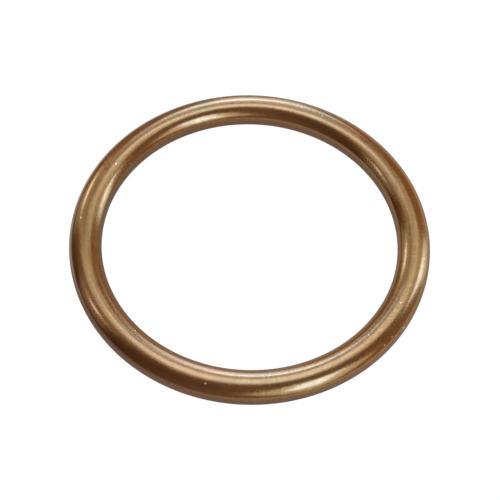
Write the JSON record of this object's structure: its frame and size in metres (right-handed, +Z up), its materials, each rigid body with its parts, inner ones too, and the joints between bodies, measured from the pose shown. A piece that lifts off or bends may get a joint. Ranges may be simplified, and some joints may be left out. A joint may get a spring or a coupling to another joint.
{
  "type": "exhaust pipe gasket",
  "caption": "Hollow crush ring of satin copper sheet, rolled to a slightly flattened tube section with a joggled lap seam on its underside, that seals an exhaust pipe joint.",
  "frame": {"origin": "on the ring's axis, level with the lower sealing land that the ring lies on", "axes": "+Z up along the ring's axis, from the lower land with the lap seam to the plain upper land; X and Y lie across the ring"},
  "size_m": [0.051, 0.051, 0.004],
  "materials": {
    "satin_copper": "satin, lightly brushed around the ring, bronze-brown copper with a fine grain and a few small pits"
  },
  "bodies": {
    "root": {"crush_ring": "satin_copper"}
  },
  "joints": []
}
